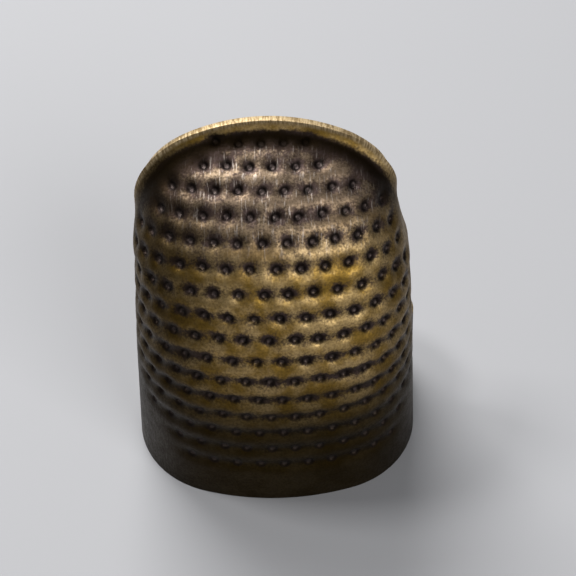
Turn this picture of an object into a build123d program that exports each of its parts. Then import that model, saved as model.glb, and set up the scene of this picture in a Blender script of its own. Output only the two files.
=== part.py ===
"""Open-sided fingertip thimble: one formed brass sheet, divided where the band flexes.

The dimpled front shield covers the pad and tip of the finger and is cut off in a raised lip.
A low band runs round the back of the finger in two wings with a gap between their ends.
The wings are bent in or out by hand to fit the finger, so each is a side and an end
that turn on upright lines, with rounded edges that sit in hollow seats.

Frame: +Z up along the finger, the dimpled front faces -Y and the rim rests on z = 0.
The origin is the middle of the whole band, between its front and its back.
"""

import os
from math import asin, cos, pi, radians, sin, sqrt, tan

from build123d import *

# The sheet
sheet = 0.5                    # thickness all over

# The shield's outline at the rim and at the tip, seen along the finger
base_half_width = 9.0
base_front_radius = 16.4       # the nearly flat pad side
base_corner_radius = 6.1       # the turn from the pad side to the finger's side
tip_half_width = 6.95
tip_front_radius = 11.2
tip_corner_radius = 4.3
side_draft = 1.6               # degrees, each upright side leans in

# The shield's centre line, seen from the side: upright, then two bends in a row
wall_height = 8.3
lower_bend_radius = 24.0
lower_bend_end = 20.0          # degrees from upright
tip_bend_radius = 10.3
tip_bend_end = 80.0

# How far the outline's plane has tipped back at the end of each bend, in degrees
lower_bend_tip = 15.5
tip_bend_tip = 32.5

# The free edge, cut upright by a round cutter, and the lip raised along its top
tip_reach = 10.9               # from the front wall back to the edge of the tip
edge_cutter_radius = 22.0
lip_height = 0.5
lip_thickness = 0.55
lip_fade = 0.6                 # share of the tip's bend in which the lip rises to its height

# The band
band_height = 6.9
band_depth = 15.3              # from the front wall to the outside of the back
back_corner_radius = 6.0       # middle of the sheet
band_gap = 3.2                 # between the two ends at the back
band_end_rounding = 1.5
wing_split = 45                # degrees round the back corner to the line between side and end
hinge_inset = 0.4              # from the shield's cut edge forward to the middle of its seat
fit_clearance = 0.04           # between a rounded edge and its seat
shoulder_clearance = 0.3       # between the band's top and the shield's side edge

# The dimples that hold the needle's head
dimple_rows = 16
first_row_height = 3.6
row_pitch = 1.59
dimple_pitch = 1.53            # along a row, on the upright wall
tip_dimple_pitch = 1.38        # along the last row
dimple_places = 13             # across an odd row, before the edges cut it short
dimple_diameter = 0.9
dimple_depth = 0.2
edge_margin = 0.9              # plain sheet between a dimple's middle and the lip or a seat

os.makedirs("parts", exist_ok=True)

# Places that follow from them
front_y = -band_depth / 2
cutter_y = front_y + tip_reach - edge_cutter_radius
hinge_x = base_half_width - sheet / 2
hinge_y = cutter_y + sqrt(edge_cutter_radius**2 - hinge_x**2) - hinge_inset
seat_radius = sheet / 2 + fit_clearance
ball_radius = (dimple_diameter**2 / 4 + dimple_depth**2) / (2 * dimple_depth)


# --- The centre line and the outlines -------------------------------------------------

lower_bend_length = lower_bend_radius * radians(lower_bend_end)
tip_bend_length = tip_bend_radius * radians(tip_bend_end - lower_bend_end)
tip_bend_start = wall_height + lower_bend_length
tip_bend_finish = tip_bend_start + tip_bend_length


def centre_line(length):
    """The y, z and lean of the middle of the shield at a length along it from the rim."""
    if length <= wall_height:
        return front_y, length, 0.0
    lean = min((length - wall_height) / lower_bend_radius, radians(lower_bend_end))
    y = front_y + lower_bend_radius * (1 - cos(lean))
    z = wall_height + lower_bend_radius * sin(lean)
    if length <= tip_bend_start:
        return y, z, lean
    start = lean
    lean = min(start + (length - tip_bend_start) / tip_bend_radius, radians(tip_bend_end))
    y += tip_bend_radius * (cos(start) - cos(lean))
    z += tip_bend_radius * (sin(lean) - sin(start))
    beyond = max(length - tip_bend_finish, 0)
    return y + beyond * sin(lean), z + beyond * cos(lean), lean


def plane_tip(lean):
    """How far the plane of the outline has tipped back, in radians, at this lean of the wall."""
    if lean <= radians(lower_bend_end):
        return radians(lower_bend_tip) * lean / radians(lower_bend_end)
    share = (lean - radians(lower_bend_end)) / radians(tip_bend_end - lower_bend_end)
    return radians(lower_bend_tip + share * (tip_bend_tip - lower_bend_tip))


def outline_sizes(length):
    """Half width, front radius and corner radius of the outline at this length."""
    half_width = base_half_width - centre_line(min(length, tip_bend_start))[1] * tan(radians(side_draft))
    narrowing = max(length - tip_bend_start, 0) / tip_bend_length
    half_width += narrowing * (tip_half_width - half_width)
    share = max(length - wall_height, 0) / (tip_bend_finish - wall_height)
    front = base_front_radius + share * (tip_front_radius - base_front_radius)
    corner = base_corner_radius + share * (tip_corner_radius - base_corner_radius)
    return half_width, front, corner


def outline_plane(length, shift):
    """The plane of the outline, moved by a shift at right angles to the sheet."""
    y, z, lean = centre_line(length)
    tip = plane_tip(lean)
    slide = shift / cos(lean - tip)
    origin = (0, y + slide * cos(tip), z - slide * sin(tip))
    return Plane(origin=origin, x_dir=(1, 0, 0), z_dir=(0, sin(tip), cos(tip)))


def outline(length, shift):
    """The closed outline in its own plane, with its sides carried back past the edge."""
    half_width, front, corner = outline_sizes(length)
    half_width -= shift
    front -= shift
    corner -= shift
    turn = asin((half_width - corner) / (front - corner))
    joint = (front * sin(turn), front * (1 - cos(turn)))
    corner_x = (front - corner) * sin(turn)
    corner_y = front - (front - corner) * cos(turn)
    middle = (turn + pi / 2) / 2
    bulge = (corner_x + corner * sin(middle), corner_y - corner * cos(middle))
    side = (half_width, corner_y)
    back = tip_reach + sheet - shift
    with BuildLine() as line:
        ThreePointArc((-joint[0], joint[1]), (0, 0), joint)
        ThreePointArc(joint, bulge, side)
        Line(side, (half_width, back))
        Line((half_width, back), (-half_width, back))
        Line((-half_width, back), (-side[0], side[1]))
        ThreePointArc((-side[0], side[1]), (-bulge[0], bulge[1]), (-joint[0], joint[1]))
    return line.edges()


bend_steps = 6                 # outlines along each bend
tip_overrun = tip_reach / 4    # straight sheet past the last bend, for the cutter to cut off
cutter_height = 2 * tip_bend_finish
stations = [0, wall_height]
stations += [wall_height + lower_bend_length * step / bend_steps for step in range(1, bend_steps + 1)]
stations += [tip_bend_start + tip_bend_length * step / bend_steps for step in range(1, bend_steps + 1)]
stations += [tip_bend_finish + tip_overrun]


def skin_point(length, across):
    """A point on the outside of the shield, by length from the rim and length from the middle."""
    half_width, front, corner = outline_sizes(length)
    turn = asin((half_width - corner) / (front - corner))
    angle = min(abs(across) / front, turn)
    x = front * sin(angle)
    depth = front * (1 - cos(angle))
    past_front = max(abs(across) - front * turn, 0)
    angle = min(turn + past_front / corner, pi / 2)
    x += corner * (sin(angle) - sin(turn))
    depth += corner * (cos(turn) - cos(angle))
    depth += max(past_front - corner * (pi / 2 - turn), 0)
    y, z, lean = centre_line(length)
    tip = plane_tip(lean)
    return Vector(x if across > 0 else -x, y + depth * cos(tip), z - depth * sin(tip))


def skin_normal(length, across):
    """The direction straight out of the sheet at that point."""
    step = sheet / 10
    along = skin_point(length + step, across) - skin_point(length - step, across)
    sideways = skin_point(length, across + step) - skin_point(length, across - step)
    return sideways.cross(along).normalized()


def inside_edge(point):
    """Whether a dimple's middle here keeps its margin from the lip and from the wings."""
    to_cutter = sqrt(point.X**2 + (point.Y - cutter_y) ** 2)
    clear_of_lip = to_cutter < edge_cutter_radius - lip_thickness - edge_margin
    return clear_of_lip and (point.Z > band_height or point.Y < hinge_y - edge_margin)


def ball_centres():
    """The middles of the balls that press the dimples, row by row from the rim."""
    centres = []
    last_row = first_row_height + (dimple_rows - 1) * row_pitch
    for row in range(dimple_rows):
        length = first_row_height + row * row_pitch
        share = max(length - tip_bend_start, 0) / (last_row - tip_bend_start)
        pitch = dimple_pitch + share * (tip_dimple_pitch - dimple_pitch)
        places = dimple_places + (row + 1) % 2
        for place in range(places):
            across = (place - (places - 1) / 2) * pitch
            point = skin_point(length, across)
            if inside_edge(point):
                centres.append(point + skin_normal(length, across) * (ball_radius - dimple_depth))
    return centres


# --- Front shield ---------------------------------------------------------------------

with BuildPart() as lip:
    for length in [station for station in stations if station >= tip_bend_start]:
        raised = lip_height * min((length - tip_bend_start) / (lip_fade * tip_bend_length), 1)
        with BuildSketch(outline_plane(length, -raised)):
            make_face(outline(length, -raised))
    loft(ruled=True)
    with BuildSketch():
        with Locations((0, cutter_y)):
            Circle(edge_cutter_radius)
            Circle(edge_cutter_radius - lip_thickness, mode=Mode.SUBTRACT)
    extrude(amount=cutter_height, mode=Mode.INTERSECT)

with BuildPart() as finger_form:
    for length in stations:
        with BuildSketch(outline_plane(length, sheet)):
            make_face(outline(length, sheet))
    loft(ruled=True)

with BuildPart() as front_shield:
    for length in stations:
        with BuildSketch(outline_plane(length, 0)):
            make_face(outline(length, 0))
    loft(ruled=True)
    with BuildSketch():
        with Locations((0, cutter_y)):
            Circle(edge_cutter_radius)
    extrude(amount=cutter_height, mode=Mode.INTERSECT)
    add(lip.part)
    add(finger_form.part, mode=Mode.SUBTRACT)
    with BuildSketch():
        with Locations((0, hinge_y + tip_reach / 2)):
            Rectangle(2 * base_half_width, tip_reach)
        with Locations((-hinge_x, hinge_y), (hinge_x, hinge_y)):
            Circle(seat_radius)
    extrude(amount=band_height + shoulder_clearance, mode=Mode.SUBTRACT)
    with Locations(*ball_centres()):
        Sphere(ball_radius, mode=Mode.SUBTRACT)
front_shield.part.label = "front_shield"


# --- Band wings -----------------------------------------------------------------------

corner_x = hinge_x - back_corner_radius
corner_y = band_depth / 2 - sheet / 2 - back_corner_radius
middle_x = corner_x + back_corner_radius * cos(radians(wing_split))
middle_y = corner_y + back_corner_radius * sin(radians(wing_split))
back_y = corner_y + back_corner_radius
end_x = band_gap / 2

with BuildPart() as right_band_side:
    with BuildSketch():
        with BuildLine():
            Line((hinge_x, hinge_y), (hinge_x, corner_y))
            CenterArc((corner_x, corner_y), back_corner_radius, 0, wing_split)
        trace(line_width=sheet)
        with Locations((hinge_x, hinge_y)):
            Circle(sheet / 2)
        with Locations((middle_x, middle_y)):
            Circle(seat_radius, mode=Mode.SUBTRACT)
    extrude(amount=band_height)
right_band_side.part.label = "right_band_side"

with BuildPart() as right_band_end:
    with BuildSketch():
        with BuildLine():
            CenterArc((corner_x, corner_y), back_corner_radius, wing_split, 90 - wing_split)
            Line((corner_x, back_y), (end_x, back_y))
        trace(line_width=sheet)
        with Locations((middle_x, middle_y)):
            Circle(sheet / 2)
    extrude(amount=band_height)
    fillet(right_band_end.edges().filter_by(Axis.Y).group_by(Axis.X)[0], band_end_rounding)
right_band_end.part.label = "right_band_end"

with BuildPart() as left_band_side:
    mirror(right_band_side.part, about=Plane.YZ)
left_band_side.part.label = "left_band_side"

with BuildPart() as left_band_end:
    mirror(right_band_end.part, about=Plane.YZ)
left_band_end.part.label = "left_band_end"

for piece in (front_shield, left_band_side, left_band_end, right_band_side, right_band_end):
    export_step(piece.part, f"parts/{piece.part.label}.step")
    print(piece.part.label, round(piece.part.volume, 1), "mm3")
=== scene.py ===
# %% [markdown]
# # A dimpled brass thimble, formed from one sheet
# An open-sided thimble is stamped from flat brass. A press cuts the blank, punches rows of
# dimples into it, and bends it round a finger-shaped former. This lesson works in the same
# order: a flat blank, then dimples, then forming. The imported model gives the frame, and each
# of its nodes is replaced by the sheet that it stands for.

import bpy
import numpy as np
from mathutils import Matrix, Vector


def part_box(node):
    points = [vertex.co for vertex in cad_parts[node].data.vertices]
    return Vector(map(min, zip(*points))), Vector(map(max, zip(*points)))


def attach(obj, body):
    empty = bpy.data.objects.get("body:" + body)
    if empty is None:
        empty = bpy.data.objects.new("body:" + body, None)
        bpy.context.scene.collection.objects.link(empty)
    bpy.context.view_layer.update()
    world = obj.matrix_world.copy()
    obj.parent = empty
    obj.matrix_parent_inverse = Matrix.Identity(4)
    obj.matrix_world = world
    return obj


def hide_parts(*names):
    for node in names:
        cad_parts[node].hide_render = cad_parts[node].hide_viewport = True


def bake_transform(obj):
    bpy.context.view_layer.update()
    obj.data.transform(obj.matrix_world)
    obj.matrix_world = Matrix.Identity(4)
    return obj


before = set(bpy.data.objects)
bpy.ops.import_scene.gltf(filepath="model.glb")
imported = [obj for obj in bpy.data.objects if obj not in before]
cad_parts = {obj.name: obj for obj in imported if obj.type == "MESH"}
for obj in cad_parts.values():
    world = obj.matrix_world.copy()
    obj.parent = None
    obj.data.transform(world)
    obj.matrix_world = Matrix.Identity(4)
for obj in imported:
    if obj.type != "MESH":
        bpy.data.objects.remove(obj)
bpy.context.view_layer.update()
mm = 0.001

# %% [markdown]
# ## The former's measures
# The former is the shape that the sheet is bent over, so it decides everything that shows.
# Seen from the side it goes up straight, leans back in a wide bend and then in a tight one.
# Seen along the finger it is a shallow front arc between two rounder corners. The box of the
# model gives the front, the width and the height of the band, and the rest are bend radii.
# Hand fitting has sprung the sides out a little, so the width gets a small swell.

# %% The former
shield_low, shield_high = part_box("front_shield")
wing_low, wing_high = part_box("right_band_end")
front_y = shield_low.y
side_swell = 0.15 * mm
base_half_width = shield_high.x + side_swell
band_height = wing_high.z
band_back = wing_high.y

sheet = 0.5 * mm
base_front_radius = 16.4 * mm
base_corner_radius = 6.1 * mm
tip_half_width = 6.65 * mm
tip_front_radius = 11.2 * mm
tip_corner_radius = 4.0 * mm
side_draft = np.radians(2.3)
narrowing_power = 1.5

wall_height = 8.3 * mm
lower_bend_radius = 24.0 * mm
lower_bend_end = np.radians(20.0)
tip_bend_radius = 10.3 * mm
tip_bend_end = np.radians(80.0)
lower_bend_tip = np.radians(15.5)
tip_bend_tip = np.radians(32.5)

cutter_radius = 22.0 * mm
cutter_y = shield_high.y - cutter_radius
tip_bend_start = wall_height + lower_bend_radius * lower_bend_end
tip_bend_length = tip_bend_radius * (tip_bend_end - lower_bend_end)
tip_bend_finish = tip_bend_start + tip_bend_length
print("The blank is about", round((tip_bend_finish + 1.6 * mm) / mm, 1), "mm long")


# %% The side view
def centre_line(length):
    """The y, z and lean of the front's middle, at lengths up from the rim."""
    first = np.clip((length - wall_height) / lower_bend_radius, 0, lower_bend_end)
    tip_turn = tip_bend_end - lower_bend_end
    second = np.clip((length - tip_bend_start) / tip_bend_radius, 0, tip_turn)
    lean = first + second
    beyond = np.maximum(length - tip_bend_finish, 0)
    y = front_y + lower_bend_radius * (1 - np.cos(first)) + beyond * np.sin(lean)
    z = np.minimum(length, wall_height) + lower_bend_radius * np.sin(first) + beyond * np.cos(lean)
    y = y + tip_bend_radius * (np.cos(first) - np.cos(lean))
    z = z + tip_bend_radius * (np.sin(lean) - np.sin(first))
    return y, z, lean


bend_top = centre_line(tip_bend_finish)[:2]
print("Top of the bend:", [round(float(v) / mm, 1) for v in bend_top], "mm")


# %% The view along the finger
def outline_sizes(length):
    """Half width, front radius and corner radius of the outline, at lengths up from the rim."""
    height = centre_line(np.minimum(length, tip_bend_start))[1]
    half_width = base_half_width - height * np.tan(side_draft)
    narrowing = np.maximum(length - tip_bend_start, 0) / tip_bend_length
    half_width = half_width + narrowing**narrowing_power * (tip_half_width - half_width)
    share = np.maximum(length - wall_height, 0) / (tip_bend_finish - wall_height)
    front = base_front_radius + share * (tip_front_radius - base_front_radius)
    corner = base_corner_radius + share * (tip_corner_radius - base_corner_radius)
    return half_width, front, corner


def skin_point(across, length):
    """Places on the outside of the sheet, from its flat measures."""
    half_width, front, corner = outline_sizes(length)
    turn = np.arcsin((half_width - corner) / (front - corner))
    past_front = np.maximum(np.abs(across) - front * turn, 0)
    past_corner = np.maximum(past_front - corner * (np.pi / 2 - turn), 0)
    front_angle = np.minimum(np.abs(across) / front, turn)
    corner_angle = np.minimum(turn + past_front / corner, np.pi / 2)
    x = front * np.sin(front_angle) + corner * (np.sin(corner_angle) - np.sin(turn))
    depth = front * (1 - np.cos(front_angle)) + corner * (np.cos(turn) - np.cos(corner_angle))
    depth = depth + past_corner
    y, z, lean = centre_line(length)
    tip = np.interp(lean, [0, lower_bend_end, tip_bend_end], [0, lower_bend_tip, tip_bend_tip])
    return np.stack([np.sign(across) * x, y + depth * np.cos(tip), z - depth * np.sin(tip)], -1)


def unit(vectors):
    """The same directions, each of length 1."""
    return vectors / np.linalg.norm(vectors, axis=-1, keepdims=True)


def skin_normal(across, length):
    """Straight out of the sheet at those places."""
    step = sheet / 10
    sideways = skin_point(across + step, length) - skin_point(across - step, length)
    along = skin_point(across, length + step) - skin_point(across, length - step)
    return unit(np.cross(sideways, along))


def from_edge(point):
    """Distance in plan from the round cutter's line, positive on the thimble's side."""
    return cutter_radius - np.hypot(point[..., 0], point[..., 1] - cutter_y)


# %% [markdown]
# ## The blank
# The free edge of the thimble is one clean round cut, so on the flat sheet it is the line
# where the former's skin meets the cutter. A grid is added and its four sides are laid on
# that line: the rim, two sides and the top. What lies between is blended from the four, so
# the mesh is even and its rows follow the rows of dimples.


# %% Find the cut line
def halve(miss, low, high, rounds=40):
    """Where miss changes sign between low and high, by halving the gap again and again."""
    low, high = np.array(low, float), np.array(high, float)
    for _ in range(rounds):
        middle = (low + high) / 2
        inside = miss(middle) > 0
        low, high = np.where(inside, middle, low), np.where(inside, high, middle)
    return (low + high) / 2


blank_reach = 32 * mm
shoulder_across = 5.6 * mm


def edge_across(length):
    """How far from the middle the cut is, at lengths up from the rim."""
    start = np.zeros_like(length)
    return halve(lambda a: from_edge(skin_point(a, length)), start, start + blank_reach)


def edge_length(across):
    """How far up from the rim the cut is, near the tip."""
    start = np.zeros_like(across) + wall_height
    return halve(lambda s: from_edge(skin_point(across, s)), start, start + blank_reach)


shoulder_length = edge_length(np.array([shoulder_across]))[0]
print("Shoulder of the blank:", round(shoulder_length / mm, 2), "mm up")


# %% Lay a grid on the blank
blank_columns, blank_rows = 204, 208


def only(piece):
    """Selects this piece and nothing else, for the next operator."""
    bpy.ops.object.select_all(action="DESELECT")
    piece.select_set(True)
    bpy.context.view_layer.objects.active = piece


def read_places(piece):
    """The places of a mesh's vertices as an array."""
    places = np.empty(len(piece.data.vertices) * 3)
    piece.data.vertices.foreach_get("co", places)
    return places.reshape(-1, 3)


def set_places(piece, places):
    """Moves every vertex of a mesh to its new place."""
    piece.data.vertices.foreach_set("co", places.ravel())
    piece.data.update()


def mark(piece, name, values, kind="FLOAT", domain="POINT"):
    """Writes one value or one vector for each vertex or edge into a named attribute."""
    found = piece.data.attributes.get(name) or piece.data.attributes.new(name, kind, domain)
    field = "vector" if kind == "FLOAT_VECTOR" else "value"
    found.data.foreach_set(field, np.asarray(values, np.float32).ravel())


def read_mark(piece, name):
    """The values of a named attribute, one for each vertex."""
    values = np.empty(len(piece.data.vertices))
    piece.data.attributes[name].data.foreach_get("value", values)
    return values


def add_grid(name, columns, rows):
    """A flat grid from -1 to 1 both ways, which becomes a blank."""
    bpy.ops.object.select_all(action="DESELECT")
    bpy.ops.mesh.primitive_grid_add(x_subdivisions=columns, y_subdivisions=rows, size=2)
    piece = bpy.context.object
    piece.name = piece.data.name = name
    return piece


shield = add_grid("dimpled_shield", blank_columns, blank_rows)
spot = read_places(shield)
t = spot[:, 0]
s = (spot[:, 1] + 1) / 2
rim_half = edge_across(np.array([0.0]))[0]
across = t * edge_across(s * shoulder_length)
length = s * edge_length(t * shoulder_across)
set_places(shield, np.stack([across, length, 0 * across], -1))
on_outline = np.isclose(np.abs(t), 1) | np.isclose(s, 0) | np.isclose(s, 1)
print("Blank:", len(spot), "places,", round(2 * rim_half / mm, 1), "mm across the rim")

# %% [markdown]
# ## Thickness and worn edges
# A cut sheet has square edges that handling has rounded. Solidify gives the blank its
# thickness below the outside face, and a weighted bevel rounds only the edges marked for it.
# The strip where the band carries on is left square, because there the metal isn't cut.

# %% Thicken a blank and round its edges
edge_wear = 0.09 * mm
notch_radius = 0.8 * mm
joined_height = band_height + notch_radius


def thicken(piece, rounded):
    """Gives a flat blank its thickness and rounds the marked part of its outline."""
    mark(piece, "rounded", rounded)
    only(piece)
    solid = piece.modifiers.new("thickness", "SOLIDIFY")
    solid.thickness = sheet
    solid.offset = -1
    bpy.ops.object.modifier_apply(modifier=solid.name)
    places = read_places(piece)
    outline = read_mark(piece, "rounded")
    ends = np.empty(len(piece.data.edges) * 2, np.int32)
    piece.data.edges.foreach_get("vertices", ends)
    ends = ends.reshape(-1, 2)
    level = np.abs(places[ends[:, 0], 2] - places[ends[:, 1], 2]) < sheet / 2
    mark(piece, "bevel_weight_edge", level * outline[ends].min(1), domain="EDGE")
    bevel = piece.modifiers.new("worn_edge", "BEVEL")
    bevel.limit_method = "WEIGHT"
    bevel.width = edge_wear
    bevel.segments = 2
    bpy.ops.object.modifier_apply(modifier=bevel.name)


joined = np.isclose(np.abs(t), 1) & (s * shoulder_length < joined_height)
thicken(shield, on_outline & ~joined)
print("Shield slab:", len(shield.data.polygons), "faces")

# %% [markdown]
# ## The dimples
# A dimple stops the needle's head from slipping. Each was pressed by a blunt round punch: a
# small flat-bottomed pit in a wider soft hollow. The hollows of one row run together into a
# shallow groove, and the metal between rows stands up as a ridge. Rows are staggered.
# Measured on the blank, they are straight rows, so they are set out flat and formed later.

# %% Set out the rows
dimple_rows = 16
first_row = 3.6 * mm
row_pitch = 1.59 * mm
dimple_pitch = 1.53 * mm
tip_dimple_pitch = 1.38 * mm
pattern_shift = -0.29 * mm
dimple_reach = 7
lip_margin = 0.95 * mm
side_margin = 1.9 * mm
side_from = 4.3 * mm
left_start = -3.6
right_start = 5.6
field_spread = 1.1


def dimple_middles():
    """The middles of the dimples on the blank, row by row from the rim."""
    middles = []
    last_row = first_row + (dimple_rows - 1) * row_pitch
    for row in range(dimple_rows):
        length = first_row + row * row_pitch
        share = max(length - tip_bend_start, 0) / (last_row - tip_bend_start)
        pitch = dimple_pitch + share * (tip_dimple_pitch - dimple_pitch)
        offset = 0.5 if row % 2 == 0 else 0.0
        for step in range(-dimple_reach, dimple_reach + 1):
            place = step + offset
            across = place * pitch + pattern_shift
            in_field = left_start - row * field_spread < place < right_start + row * field_spread
            margin = side_margin if abs(across) > side_from else lip_margin
            if in_field and from_edge(skin_point(np.array(across), np.array(length))) > margin:
                middles.append((across, length))
    return np.array(middles)


middles = dimple_middles()
print("Dimples:", len(middles))

# %% Measure the dimples on the blank
pit_radius = 0.29 * mm
pit_floor_radius = 0.16 * mm
pit_depth = 0.13 * mm
hollow_across = np.array([0.58, 0.42]) * mm
hollow_along = 0.38 * mm
hollow_depth = 0.28 * mm
press_reach = 2.2 * mm
far_away = 1.2 * mm
inside_share = 0.35


def smooth_step(value, low, high):
    """0 up to low, 1 from high on, and an S-curve between them."""
    share = np.clip((value - low) / (high - low), 0, 1)
    return share * share * (3 - 2 * share)


def press(places, strength):
    """How hollow each place is, how much it is an upper wall, its share of a pit, and how far
    it is from a middle."""
    hollow = np.zeros(len(places))
    upper = np.zeros(len(places))
    pit = np.zeros(len(places))
    nearest = np.full(len(places), far_away)
    for middle, force in zip(middles, strength):
        near = np.flatnonzero(np.abs(places[:, :2] - middle).max(1) < press_reach)
        way = places[near, :2] - middle
        away = np.hypot(way[:, 0], way[:, 1])
        wide = np.interp(middle[1], [first_row, first_row + 9 * row_pitch], hollow_across)
        soft = np.exp(-0.5 * ((way[:, 0] / wide) ** 2 + (way[:, 1] / hollow_along) ** 2))
        hollow[near] += force * soft
        # This upper-wall share is used for painted shade on the upper wall of each hollow.
        upper[near] += force * soft * way[:, 1] / hollow_along
        inner = smooth_step(-away, -pit_radius, -pit_floor_radius)
        pit[near] = np.maximum(pit[near], force * inner)
        nearest[near] = np.minimum(nearest[near], away)
    return hollow, upper, pit, nearest


# The punch wanders a little, and it presses less near the rim and over the tip.
wander = 0.035 * mm
weakest_blow, strongest_blow = 0.85, 1.12
lost_at_rim, lost_at_tip = 0.45, 0.25
rng = np.random.default_rng(7)
middles += rng.normal(0, wander, middles.shape)
strength = rng.uniform(weakest_blow, strongest_blow, len(middles))
from_rim = smooth_step(middles[:, 1], first_row, first_row + 5 * row_pitch)
over_tip = smooth_step(middles[:, 1], tip_bend_start, tip_bend_start + 4 * row_pitch)
strength *= (1 - lost_at_rim + lost_at_rim * from_rim) * (1 - lost_at_tip * over_tip)
blank = read_places(shield)
hollow, upper, pit, nearest = press(blank, strength)
pressed = hollow * hollow_depth + pit * pit_depth
print("Deepest dimple:", round(float(pressed.max()) / mm, 2), "mm")

# %% [markdown]
# ## Forming the shield
# Now every place on the slab has flat measures: across, up from the rim, and down into the
# sheet. Forming puts it on the former's skin, with its depth taken along the normal, which
# keeps the sheet one thickness all over. Near the tip the edge is turned up into a lip. The
# turn is a bend of the sheet itself, so the edge face that was square to the blank ends up
# on top of the lip, and the bend fades out down both sides.

# %% Turn the lip and form the sheet
lip_bend = 1.26 * mm
lip_flange = 0.1 * mm
lip_turn = np.radians(70)
lip_zone = lip_bend + lip_flange
lip_stretch = 3.0 * mm
lip_low_right, lip_high_right = 18.2 * mm, 21.6 * mm
lip_low_left, lip_high_left = 16.7 * mm, 22.2 * mm
tip_sway = -0.21 * mm
sway_low, sway_high = 15.2 * mm, 17.4 * mm
least_slope = 0.2

# Distances from the cut edge, for the finish: the painted shade in the root under the lip
# starts, is full, starts to fade and is gone; the rubbed edge ends; the lip's face ends.
root_start, root_full, root_fades, root_gone = np.array([0.25, 1.15, 1.2, 2.9]) * mm
root_low, root_high = 17.5 * mm, 21.5 * mm
rub_full, rub_gone = 0.08 * mm, 0.4 * mm
face_full, face_gone = 0.5 * mm, 1.3 * mm
side_rub = 0.35


def form(places, pressed):
    """Bends the dimpled slab over the former and turns up its lip."""
    across, length, depth = places.T
    point = skin_point(across, length)
    normal = skin_normal(across, length)
    plan = np.stack([point[:, 0], point[:, 1] - cutter_y, 0 * across], -1)
    plan = unit(plan)
    outward = plan - normal * (normal * plan).sum(1, keepdims=True)
    slope = np.maximum(np.linalg.norm(outward, axis=1), least_slope)
    outward = outward / slope[:, None]
    away = np.maximum(from_edge(point), 0) / slope
    right = smooth_step(point[:, 2], lip_low_right, lip_high_right)
    left = smooth_step(point[:, 2], lip_low_left, lip_high_left)
    raised = np.where(across > 0, right, left)
    full_turn = np.maximum(raised * lip_turn, 1e-3)
    radius = lip_bend / full_turn
    edge_place = sheet / 2 * np.sin(full_turn)
    start = edge_place + radius * np.sin(full_turn) + lip_flange * np.cos(full_turn)
    stretched = away * (lip_stretch - start + lip_zone) / lip_stretch
    arc = np.where(away < lip_stretch, stretched, away - start + lip_zone)
    into = np.maximum(lip_zone - arc, 0)
    turned = np.minimum(into / lip_bend, 1) * full_turn
    straight = np.maximum(into - lip_bend, 0)
    rise = radius * (1 - np.cos(turned)) + straight * np.sin(turned)
    reach = radius * np.sin(turned) + straight * np.cos(turned)
    new_away = np.where(into > 0, start - reach, start + arc - lip_zone)
    middle = point + outward * (away - new_away)[:, None]
    middle = middle + normal * (rise - sheet / 2)[:, None]
    turned_normal = normal * np.cos(turned)[:, None] - outward * np.sin(turned)[:, None]
    face = depth + sheet / 2 - pressed
    # This mask marks the painted shade in the root under the lip.
    root_shade = smooth_step(arc, root_start, root_full) * smooth_step(point[:, 2], root_low, root_high)
    root_shade = root_shade * (1 - smooth_step(arc, root_fades, root_gone))
    edge = (side_rub + (1 - side_rub) * raised) * (1 - smooth_step(arc, rub_full, rub_gone))
    edge = edge * smooth_step(length, joined_height, joined_height + notch_radius)
    lip = raised * (1 - smooth_step(arc, face_full, face_gone))
    formed = middle + turned_normal * face[:, None]
    formed[:, 0] += tip_sway * smooth_step(formed[:, 2], sway_low, sway_high)
    return formed, root_shade, edge, lip


outer_share = np.clip(1 + blank[:, 2] / sheet, 0, 1)
share = inside_share + (1 - inside_share) * outer_share
formed, root_shade, edge, lip = form(blank, share * pressed)
set_places(shield, formed)
outside = outer_share > 0.5
nearest = np.where(outside, nearest, far_away) / mm
# The dimple facts carry the upper-wall share for painted shade; the first wear fact is the painted
# shade in the root under the lip.
dimple_facts = np.column_stack([nearest, hollow * outside, upper * outside])
mark(shield, "dimple", dimple_facts, "FLOAT_VECTOR")
mark(shield, "wear_and_root_shade", np.column_stack([root_shade * outer_share, edge, lip]), "FLOAT_VECTOR")
mark(shield, "blank_place", blank / mm, "FLOAT_VECTOR")
print("Formed shield:", [round(float(v) / mm, 2) for v in np.ptp(formed, axis=0)], "mm")

# %% [markdown]
# ## The band's wings
# The band is the same sheet carried on round the back of the finger, smooth and lower than
# the shield. It starts on the shield's leaning edge with a small rounded notch, comes
# upright, turns round the corner and ends in a rounded end. Each wing is made as one strip
# on the flat in two lengths, a side and an end.

# %% The path of a wing
corner_middle_radius = 6.0 * mm
corner_x = base_half_width - sheet / 2 - corner_middle_radius
corner_y = band_back - sheet / 2 - corner_middle_radius
end_x = wing_low.x
end_rounding = 1.5 * mm
seam_y = cutter_y + np.sqrt(cutter_radius**2 - base_half_width**2)
straight_side = corner_y - seam_y
corner_length = corner_middle_radius * np.pi / 2
wing_bulge = 0.17 * mm
bulge_full, bulge_fades, bulge_gone = 1.0 * mm, 2.0 * mm, 8.0 * mm
wing_length = straight_side + corner_length + corner_x - end_x
half_way = straight_side + corner_length / 2
upright_by = 1.8 * mm


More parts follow.
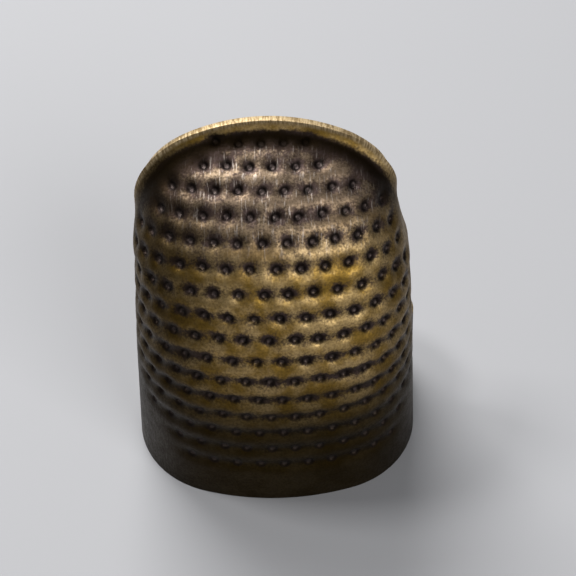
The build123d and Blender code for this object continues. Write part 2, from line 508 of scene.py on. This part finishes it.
def wing_form(places):
    """Bends flat places of the right wing round the finger: along, up and down into the sheet."""
    along, height, depth = places.T
    turn = np.clip((along - straight_side) / corner_middle_radius, 0, np.pi / 2)
    before = np.minimum(along - straight_side, 0)
    after = np.maximum(along - straight_side - corner_length, 0)
    normal = np.stack([np.cos(turn), np.sin(turn), 0 * turn], -1)
    outside = corner_middle_radius + sheet / 2
    x = corner_x + outside * np.cos(turn) - after
    y = corner_y + outside * np.sin(turn) + before
    leaning = 1 - smooth_step(along, 0, upright_by)
    edge_x = base_half_width - height * np.tan(side_draft)
    edge_y = cutter_y + np.sqrt(cutter_radius**2 - edge_x**2)
    x = x + leaning * (edge_x - base_half_width)
    y = y + leaning * (edge_y - seam_y)
    swell = smooth_step(along, 0, bulge_full) * (1 - smooth_step(along, bulge_fades, bulge_gone))
    x = x + wing_bulge * swell
    normal[:, 2] = leaning * np.tan(side_draft)
    return np.stack([x, y, height], -1) + unit(normal) * depth[:, None]


print("Wing:", round(float(wing_length) / mm, 2), "mm along the middle of the sheet")


# %% Cut, round and bend the wings
column_pitch = 0.16 * mm
wing_rows = 44
wing_rub_gone = 0.3 * mm
wing_offset = 15  # millimetres that set the wings' noise apart from the shield's


def wing_heights(along):
    """The lower and upper edge of the wing's blank at places along it."""
    into_notch = np.clip(notch_radius - along, 0, notch_radius)
    upper = joined_height - np.sqrt(notch_radius**2 - into_notch**2)
    into_end = np.clip(along - wing_length + end_rounding, 0, end_rounding)
    cut = end_rounding - np.sqrt(end_rounding**2 - into_end**2)
    return cut, upper - cut


def wing_columns(start, stop):
    """Places along the strip, closer together in the notch and in the rounded end."""
    turn = np.linspace(0, np.pi / 2, 13)
    notch = notch_radius * (1 - np.cos(turn))
    rounding = wing_length - end_rounding * (1 - np.sin(turn))
    plain = np.arange(notch_radius, wing_length - end_rounding, column_pitch)
    places = np.concatenate([notch, plain, rounding])
    places = np.unique(np.round(places[(places > start) & (places < stop)], 8))
    return np.concatenate([[start], places, [stop]])


def make_wing(name, start, stop, mirrored):
    """One length of a wing, cut flat, rounded along its cut edges and bent."""
    columns = wing_columns(start, stop)
    piece = add_grid(name, len(columns) - 1, wing_rows)
    spot = read_places(piece)
    column = np.rint((spot[:, 0] + 1) / 2 * (len(columns) - 1)).astype(int)
    share = (spot[:, 1] + 1) / 2
    low, high = wing_heights(columns[column])
    set_places(piece, np.stack([columns[column], low + share * (high - low), 0 * share], -1))
    cut = np.isclose(share, 0) | np.isclose(share, 1)
    if stop == wing_length:
        cut = cut | (column == len(columns) - 1)
    thicken(piece, cut)
    flat = read_places(piece)
    formed = wing_form(flat)
    if mirrored:
        formed[:, 0] *= -1
    set_places(piece, formed)
    if mirrored:
        only(piece)
        bpy.ops.object.mode_set(mode="EDIT")
        bpy.ops.mesh.select_all(action="SELECT")
        bpy.ops.mesh.flip_normals()
        bpy.ops.object.mode_set(mode="OBJECT")
    mark(piece, "dimple", np.tile([far_away / mm, 0, 0], (len(flat), 1)), "FLOAT_VECTOR")
    low, high = wing_heights(flat[:, 0])
    to_cut = np.minimum(flat[:, 1] - low, high - flat[:, 1])
    worn = side_rub * (1 - smooth_step(to_cut, rub_full, wing_rub_gone))
    mark(piece, "wear_and_root_shade", np.column_stack([0 * worn, worn, 0 * worn]), "FLOAT_VECTOR")
    mark(piece, "blank_place", flat / mm + np.array([wing_offset, 0, 0]), "FLOAT_VECTOR")
    return piece


right_side = make_wing("right_wing_side", 0.0, half_way, False)
right_end = make_wing("right_wing_end", half_way, wing_length, False)
left_side = make_wing("left_wing_side", 0.0, half_way, True)
left_end = make_wing("left_wing_end", half_way, wing_length, True)
sheets = [shield, right_side, right_end, left_side, left_end]
for piece in sheets:
    only(piece)
    bpy.ops.object.shade_smooth_by_angle(angle=np.radians(50))
    print(piece.name, len(piece.data.polygons), "faces")

# %% [markdown]
# ## Aged brass
# The finish is brass that was darkened all over and then rubbed. What a finger or a cloth
# can reach is worn back to olive gold, and what lies low keeps its purple-brown patina. Shade
# is painted into the colour as well: on the upper wall of each hollow, in the root under the
# lip, towards the rim and on both sides. So the colour follows the shape: the attributes
# written above say how deep each place lies, how much it is the upper wall of a hollow, how
# far it is from a dimple's middle and how near to the cut edge. Noise breaks every border up.


# %% Shader maths as Python
class Wire:
    """A socket of a shader, so that values can be written as Python expressions."""

    tree = None

    def __init__(self, socket):
        self.socket = socket

    @classmethod
    def node(cls, kind, settings=None, output=0, **inputs):
        """One node: its settings first, then the values or links of its sockets."""
        made = cls.tree.nodes.new("ShaderNode" + kind)
        for name, value in (settings or {}).items():
            setattr(made, name, value)
        for name, value in inputs.items():
            by_number = name[0] == "i" and name[1:].isdigit()
            key = int(name[1:]) if by_number else name.replace("_", " ")
            if isinstance(value, Wire):
                cls.tree.links.new(value.socket, made.inputs[key])
            else:
                made.inputs[key].default_value = value
        return Wire(made.outputs[output])

    def maths(self, operation, other):
        return Wire.node("Math", {"operation": operation}, i0=self, i1=other)

    def __add__(self, other):
        return self.maths("ADD", other)

    __radd__ = __add__

    def __mul__(self, other):
        return self.maths("MULTIPLY", other)

    __rmul__ = __mul__

    def __sub__(self, other):
        return self.maths("SUBTRACT", other)

    def __rsub__(self, other):
        return (self * -1.0).maths("ADD", other)

    def between(self, low, high):
        """0 below low, 1 above high and an S-curve between."""
        return Wire.node(
            "MapRange",
            {"interpolation_type": "SMOOTHSTEP"},
            Value=self,
            From_Min=low,
            From_Max=high,
            To_Min=0.0,
            To_Max=1.0,
        )

    def part(self, axis):
        return Wire.node("SeparateXYZ", output="XYZ".index(axis), Vector=self)

    def scaled(self, factors):
        return Wire.node("VectorMath", {"operation": "MULTIPLY"}, i0=self, i1=factors)


def mixed(share, first, second):
    """A colour that goes from first to second."""
    made = Wire.tree.nodes.new("ShaderNodeMix")
    made.data_type = "RGBA"
    for key, value in ((0, share), (6, first), (7, second)):
        if isinstance(value, Wire):
            Wire.tree.links.new(value.socket, made.inputs[key])
        else:
            made.inputs[key].default_value = value
    return Wire(made.outputs[2])


def noise(place, scale, detail=3.0, roughness=0.55):
    return Wire.node("TexNoise", Vector=place, Scale=scale, Detail=detail, Roughness=roughness)


# %% The aged brass finish
aged_brass = bpy.data.materials.new("aged_brass")
aged_brass.use_nodes = True
Wire.tree = aged_brass.node_tree
shader = aged_brass.node_tree.nodes["Principled BSDF"]

dimple = Wire.node("Attribute", {"attribute_name": "dimple"}, output="Vector")
wear_and_root_shade = Wire.node("Attribute", {"attribute_name": "wear_and_root_shade"}, output="Vector")
flat_place = Wire.node("Attribute", {"attribute_name": "blank_place"}, output="Vector")
place = Wire.node("TexCoord", output="Object")

away = dimple.part("X")
hollow_mask = dimple.part("Y")
# Painted shade: the upper wall of each hollow is darkened.
upper_wall_shade = dimple.part("Z")
# Painted shadow in the root under the lip.
root_shade_mask = wear_and_root_shade.part("X")
edge_mask = wear_and_root_shade.part("Y")
lip_mask = wear_and_root_shade.part("Z")

blotches = noise(place, 420.0, 4.0, 0.6)
mottle = noise(place, 1500.0, 4.0, 0.65)
grain = noise(place, 6500.0, 2.0, 0.6)
strokes = noise(flat_place.scaled((7.0, 0.9, 1.0)), 1.0, 4.0, 0.65)

wobble = away + (mottle - 0.5) * 0.10
pit_mask = 1.0 - wobble.between(0.15, 0.27)
ring_mask = wobble.between(0.13, 0.25) * (1.0 - wobble.between(0.27, 0.44))
height_up = place.part("Z")
# Painted shade: the band darkens towards the rim.
low_shade = 1.0 - height_up.between(6 * mm, 14 * mm)
high_up = height_up.between(18 * mm, 21.5 * mm) * (1.0 - lip_mask)
aside = flat_place.part("X")
# Painted shade on both sides, stronger on the left.
shaded = (1.0 - aside.between(-7.5, -1.5)) * 0.95 + aside.between(4.5, 10.5) * 0.7

# Patina in the hollows, plus painted shade from the root, the sides and the upper walls.
patina_and_shade = hollow_mask + root_shade_mask * 0.8 + high_up * 0.3 + shaded * 0.15
# Painted shade on the upper wall of each hollow, weaker high up.
patina_and_shade = patina_and_shade + upper_wall_shade * (0.5 - high_up * 0.4)
patina_and_shade = patina_and_shade + (blotches - 0.5) * 0.9 + (mottle - 0.5) * 1.1 + (grain - 0.5) * 0.7
patina_and_shade_mask = patina_and_shade.between(0.2, 0.85)
gold = mixed(
    blotches.between(0.38, 0.62),
    (0.28, 0.170, 0.034, 1.0),
    (0.54, 0.380, 0.17, 1.0),
)
gold = mixed(high_up * 0.75, gold, (0.23, 0.176, 0.145, 1.0))
tarnish_and_shade = mixed(
    mottle.between(0.35, 0.65),
    (0.022, 0.014, 0.013, 1.0),
    (0.078, 0.054, 0.051, 1.0),
)
sheared = mixed(
    strokes.between(0.42, 0.60),
    (0.24, 0.170, 0.085, 1.0),
    (0.52, 0.41, 0.25, 1.0),
)
scratches = strokes.between(0.56, 0.66) * high_up * (1.0 - shaded) * (1.0 - root_shade_mask)

# Base colour: real patina and painted shade share this tarnish mix, and the layers below add dirt,
# painted shade, scratches, pit patina and the worn cut edge.
colour_and_shade = mixed(patina_and_shade_mask, gold, tarnish_and_shade)
dirt = (0.05, 0.034, 0.016, 1.0)
# Painted shade towards the rim.
low_painted_shade = (0.012, 0.007, 0.001, 1.0)
# Painted shade on the sides.
side_painted_shade = (0.014, 0.008, 0.002, 1.0)
bright_metal = (0.55, 0.48, 0.42, 1.0)
pit_floor = (0.075, 0.060, 0.057, 1.0)
pit_wall = (0.014, 0.010, 0.009, 1.0)
# Painted shadow in the root under the lip.
root_painted_shadow = (0.008, 0.005, 0.002, 1.0)
for amount, layer in (
    (grain.between(0.35, 0.65) * 0.35, dirt),
    (low_shade * 0.93, low_painted_shade),
    (shaded * 0.85, side_painted_shade),
    (scratches * 0.5, bright_metal),
    (pit_mask * 0.6, pit_floor),
    (ring_mask * 0.8, pit_wall),
    (root_shade_mask * 0.96, root_painted_shadow),
    (edge_mask * 0.9, sheared),
):
    colour_and_shade = mixed(amount, colour_and_shade, layer)

roughness = 0.52 + root_shade_mask * 0.2 + edge_mask * 0.12
roughness = roughness + (mottle - 0.5) * 0.3 + (grain - 0.5) * 0.35
height = blotches * 0.4 + mottle * 0.4 + grain * 0.3 + strokes * 0.4 - pit_mask * 0.9
bump = Wire.node("Bump", Strength=0.7, Distance=1.0, Height=height * (0.05 * mm))

links = aged_brass.node_tree.links
links.new(colour_and_shade.socket, shader.inputs["Base Color"])
links.new(roughness.socket, shader.inputs["Roughness"])
links.new(bump.socket, shader.inputs["Normal"])
shader.inputs["Metallic"].default_value = 1.0
print("Aged brass:", len(aged_brass.node_tree.nodes), "nodes")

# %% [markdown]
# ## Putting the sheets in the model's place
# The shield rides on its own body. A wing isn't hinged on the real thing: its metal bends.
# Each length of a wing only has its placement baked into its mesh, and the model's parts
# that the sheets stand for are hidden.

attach(shield, "shield")
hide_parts("front_shield")
for side_name, sign, side_piece, end_piece in (
    ("right", 1, right_side, right_end),
    ("left", -1, left_side, left_end),
):
    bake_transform(side_piece)
    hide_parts(side_name + "_band_side")
    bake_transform(end_piece)
    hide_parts(side_name + "_band_end")
for piece in sheets:
    piece.data.materials.clear()
    piece.data.materials.append(aged_brass)
print("Sheets:", [piece.name for piece in sheets])

# %% [markdown]
# ## Floor, light and camera
# Metal shows what is around it, so the lights are large soft panels: one high on the left
# behind, which makes the bright patch under the lip, and one in front on the right, which
# makes the long gold sheen. The floor is plain and pale and stays out of the way.

# %% Floor
bpy.ops.object.select_all(action="DESELECT")
bpy.ops.mesh.primitive_plane_add(size=4.0)
floor = bpy.context.object
floor.name = "floor"
pale = bpy.data.materials.new("pale_floor")
pale.use_nodes = True
pale_shader = pale.node_tree.nodes["Principled BSDF"]
pale_shader.inputs["Base Color"].default_value = (0.32, 0.32, 0.33, 1)
pale_shader.inputs["Roughness"].default_value = 0.7
floor.data.materials.append(pale)


# %% Lights
def add_panel(name, place, aim, size, power):
    """A soft square light at a place, turned to face the aim."""
    bpy.ops.object.light_add(type="AREA", location=place)
    panel = bpy.context.object
    panel.name = name
    way = np.array(aim) - np.array(place)
    panel.rotation_euler = Vector(way).to_track_quat("-Z", "Y").to_euler()
    panel.data.shape = "SQUARE"
    panel.data.size = size
    panel.data.energy = power
    return panel


thimble_middle = (0.0, 0.0, 12 * mm)
add_panel("back_panel", (-0.10, 0.27, 0.30), thimble_middle, 0.26, 2.4)
add_panel("high_left_panel", (-0.19, 0.05, 0.36), thimble_middle, 0.09, 0.7)
add_panel("front_right_panel", (0.20, -0.27, 0.28), thimble_middle, 0.22, 1.0)

world = bpy.data.worlds.new("studio")
bpy.context.scene.world = world
world.use_nodes = True
world.node_tree.nodes["Background"].inputs["Color"].default_value = (0.8, 0.83, 0.9, 1)
world.node_tree.nodes["Background"].inputs["Strength"].default_value = 0.15
bpy.context.scene.view_settings.view_transform = "Standard"

# %% Camera
camera_place = Vector((0.92, -76.05, 98.19)) * mm
looks_down_by = 48.585
camera_tilt = np.radians(90 - looks_down_by)
camera_roll = np.radians(-1.323)
bpy.ops.object.camera_add()
camera = bpy.context.object
camera.matrix_world = (
    Matrix.Translation(camera_place)
    @ Matrix.Rotation(camera_tilt, 4, "X")
    @ Matrix.Rotation(camera_roll, 4, "Z")
)
camera.data.sensor_width = 36.0
camera.data.lens = 114.1
camera.data.clip_start = 1 * mm
bpy.context.scene.camera = camera
